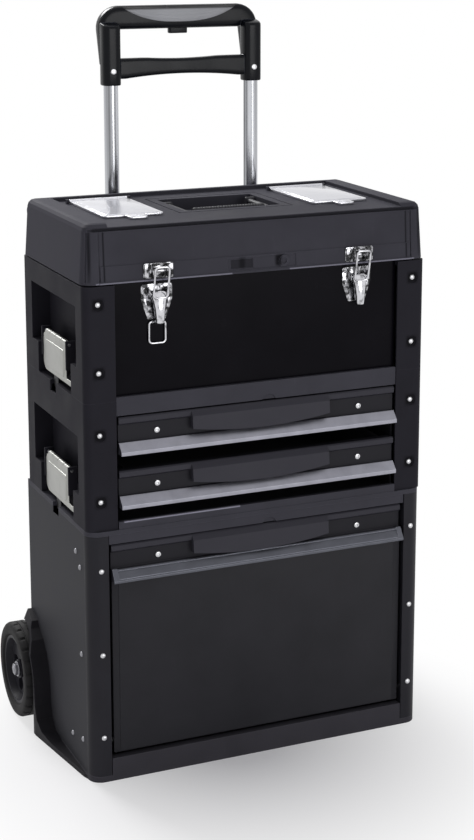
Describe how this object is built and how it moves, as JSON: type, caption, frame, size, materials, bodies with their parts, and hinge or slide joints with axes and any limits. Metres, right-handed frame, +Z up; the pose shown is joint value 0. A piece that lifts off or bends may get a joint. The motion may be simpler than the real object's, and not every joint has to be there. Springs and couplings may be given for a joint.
{
  "type": "modular rolling tool box",
  "caption": "Stacked rolling tool box: lidded top box, drawer module and tilt-out bin on a wheeled base, with side clamps, front latches and a telescopic handle.",
  "frame": {"origin": "on the floor under the middle of the base tray", "axes": "+X to the right seen from the front, the front faces -Y, +Z up"},
  "size_m": [0.54, 0.3289, 0.982],
  "materials": {
    "grey_plastic": "fine grained moulded plastic",
    "black_plastic": "fine grained moulded plastic",
    "black_paint": "gloss powder coat",
    "grey_paint": "satin powder coat",
    "zinc_steel": "bright zinc plate",
    "chrome": "polished",
    "aluminium": "drawn and lightly brushed",
    "silver_plastic": "glossy metallised",
    "clamp_metal": "satin nickel",
    "tyre_rubber": "black moulded tread",
    "grip_rubber": "soft grey pad"
  },
  "bodies": {
    "frame": {"base_tray": "black_plastic", "post_left": "black_plastic", "post_right": "black_plastic", "bottom_shell": "grey_paint", "bottom_deck": "grey_plastic", "rivets": "zinc_steel", "axle": "zinc_steel", "axle_caps": "zinc_steel", "mid_cap_left": "grey_plastic", "mid_cap_right": "grey_plastic", "mid_carcass": "black_paint", "mid_rail": "grey_plastic", "drawer_rails": "zinc_steel", "top_cap_left": "grey_plastic", "top_cap_right": "grey_plastic", "top_tub": "black_paint", "clamp_pins": "zinc_steel", "lid_hinge_pins": "zinc_steel", "latch_bases": "chrome", "outer_tubes": "black_paint", "tube_brackets": "black_plastic", "tube_collars": "black_plastic"},
    "wheel_left": {"tyre_left": "tyre_rubber", "hub_left": "black_plastic"},
    "wheel_right": {"tyre_right": "tyre_rubber", "hub_right": "black_plastic"},
    "bin": {"bin_panel": "black_paint", "bin_tray": "grey_paint", "bin_handle": "black_plastic", "bin_strip": "aluminium", "bin_screws": "zinc_steel", "bin_pins": "zinc_steel"},
    "drawer_1": {"drawer_1_tray": "grey_paint", "drawer_1_front": "black_plastic", "drawer_1_strip": "aluminium", "drawer_1_screws": "zinc_steel"},
    "drawer_2": {"drawer_2_tray": "grey_paint", "drawer_2_front": "black_plastic", "drawer_2_strip": "aluminium", "drawer_2_screws": "zinc_steel"},
    "clamp_top_left": {"clamp_top_left": "clamp_metal"},
    "clamp_top_right": {"clamp_top_right": "clamp_metal"},
    "clamp_mid_left": {"clamp_mid_left": "clamp_metal"},
    "clamp_mid_right": {"clamp_mid_right": "clamp_metal"},
    "lid": {"lid": "grey_plastic", "latch_keepers": "chrome"},
    "cover_left": {"cover_left": "silver_plastic"},
    "cover_right": {"cover_right": "silver_plastic"},
    "carry_handle": {"carry_handle": "black_plastic"},
    "lever_left": {"latch_lever_left": "chrome"},
    "lever_right": {"latch_lever_right": "chrome"},
    "loop_left": {"latch_loop_left": "chrome"},
    "loop_right": {"latch_loop_right": "chrome"},
    "hanging_loop": {"hanging_loop": "chrome"},
    "pull_handle": {"inner_tubes": "chrome", "grip_frame": "black_plastic", "grip_pad": "grip_rubber", "grip_screws": "zinc_steel"},
    "release_button": {"release_button": "black_plastic"}
  },
  "joints": [
    {"name": "wheel_left_spin", "type": "hinge", "parent": "frame", "child": "wheel_left", "pos_m": [-0.256, 0.12, 0.066], "axis": [1, 0, 0], "continuous": true},
    {"name": "wheel_right_spin", "type": "hinge", "parent": "frame", "child": "wheel_right", "pos_m": [0.256, 0.12, 0.066], "axis": [1, 0, 0], "continuous": true},
    {"name": "bin_tilt", "type": "hinge", "parent": "frame", "child": "bin", "pos_m": [0, -0.112, 0.05], "axis": [1, 0, 0], "range_deg": [0, 40]},
    {"name": "drawer_1_slide", "type": "slide", "parent": "frame", "child": "drawer_1", "axis": [0, -1, 0], "range_m": [0, 0.18]},
    {"name": "drawer_2_slide", "type": "slide", "parent": "frame", "child": "drawer_2", "axis": [0, -1, 0], "range_m": [0, 0.18]},
    {"name": "clamp_top_left_swing", "type": "hinge", "parent": "frame", "child": "clamp_top_left", "pos_m": [-0.232, 0.003, 0.566], "axis": [0, 1, 0], "range_deg": [0, 95]},
    {"name": "clamp_top_right_swing", "type": "hinge", "parent": "frame", "child": "clamp_top_right", "pos_m": [0.232, 0.003, 0.566], "axis": [0, -1, 0], "range_deg": [0, 95]},
    {"name": "clamp_mid_left_swing", "type": "hinge", "parent": "frame", "child": "clamp_mid_left", "pos_m": [-0.232, 0.003, 0.399], "axis": [0, 1, 0], "range_deg": [0, 95]},
    {"name": "clamp_mid_right_swing", "type": "hinge", "parent": "frame", "child": "clamp_mid_right", "pos_m": [0.232, 0.003, 0.399], "axis": [0, -1, 0], "range_deg": [0, 95]},
    {"name": "lid_hinge", "type": "hinge", "parent": "frame", "child": "lid", "pos_m": [0, 0.112, 0.715], "axis": [-1, 0, 0], "range_deg": [0, 85]},
    {"name": "cover_left_hinge", "type": "hinge", "parent": "lid", "child": "cover_left", "pos_m": [-0.146, 0.0795, 0.7301], "axis": [1, 0, 0], "range_deg": [-95, 0]},
    {"name": "cover_right_hinge", "type": "hinge", "parent": "lid", "child": "cover_right", "pos_m": [0.146, 0.0795, 0.7301], "axis": [1, 0, 0], "range_deg": [-95, 0]},
    {"name": "carry_handle_hinge", "type": "hinge", "parent": "lid", "child": "carry_handle", "pos_m": [0, 0.046, 0.72], "axis": [-1, 0, 0], "range_deg": [0, 95]},
    {"name": "lever_left_hinge", "type": "hinge", "parent": "frame", "child": "lever_left", "pos_m": [-0.14, -0.1265, 0.64], "axis": [-1, 0, 0], "range_deg": [0, 100]},
    {"name": "lever_right_hinge", "type": "hinge", "parent": "frame", "child": "lever_right", "pos_m": [0.14, -0.1265, 0.64], "axis": [-1, 0, 0], "range_deg": [0, 100]},
    {"name": "loop_left_hinge", "type": "hinge", "parent": "lever_left", "child": "loop_left", "pos_m": [-0.14, -0.1334, 0.636], "axis": [-1, 0, 0], "range_deg": [-100, 0]},
    {"name": "loop_right_hinge", "type": "hinge", "parent": "lever_right", "child": "loop_right", "pos_m": [0.14, -0.1334, 0.636], "axis": [-1, 0, 0], "range_deg": [-100, 0]},
    {"name": "hanging_loop_hinge", "type": "hinge", "parent": "frame", "child": "hanging_loop", "pos_m": [-0.14, -0.1206, 0.604], "axis": [-1, 0, 0], "range_deg": [0, 90]},
    {"name": "pull_handle_slide", "type": "slide", "parent": "frame", "child": "pull_handle", "axis": [0, 0, 1], "range_m": [-0.15, 0]},
    {"name": "release_button_press", "type": "slide", "parent": "pull_handle", "child": "release_button", "axis": [0, 0, 1], "range_m": [0, 0.005], "stiffness_N_per_m": 600}
  ],
  "couplings": [
    {"joint": "loop_left_hinge", "follows": "lever_left_hinge", "ratio": -1},
    {"joint": "loop_right_hinge", "follows": "lever_right_hinge", "ratio": -1}
  ]
}
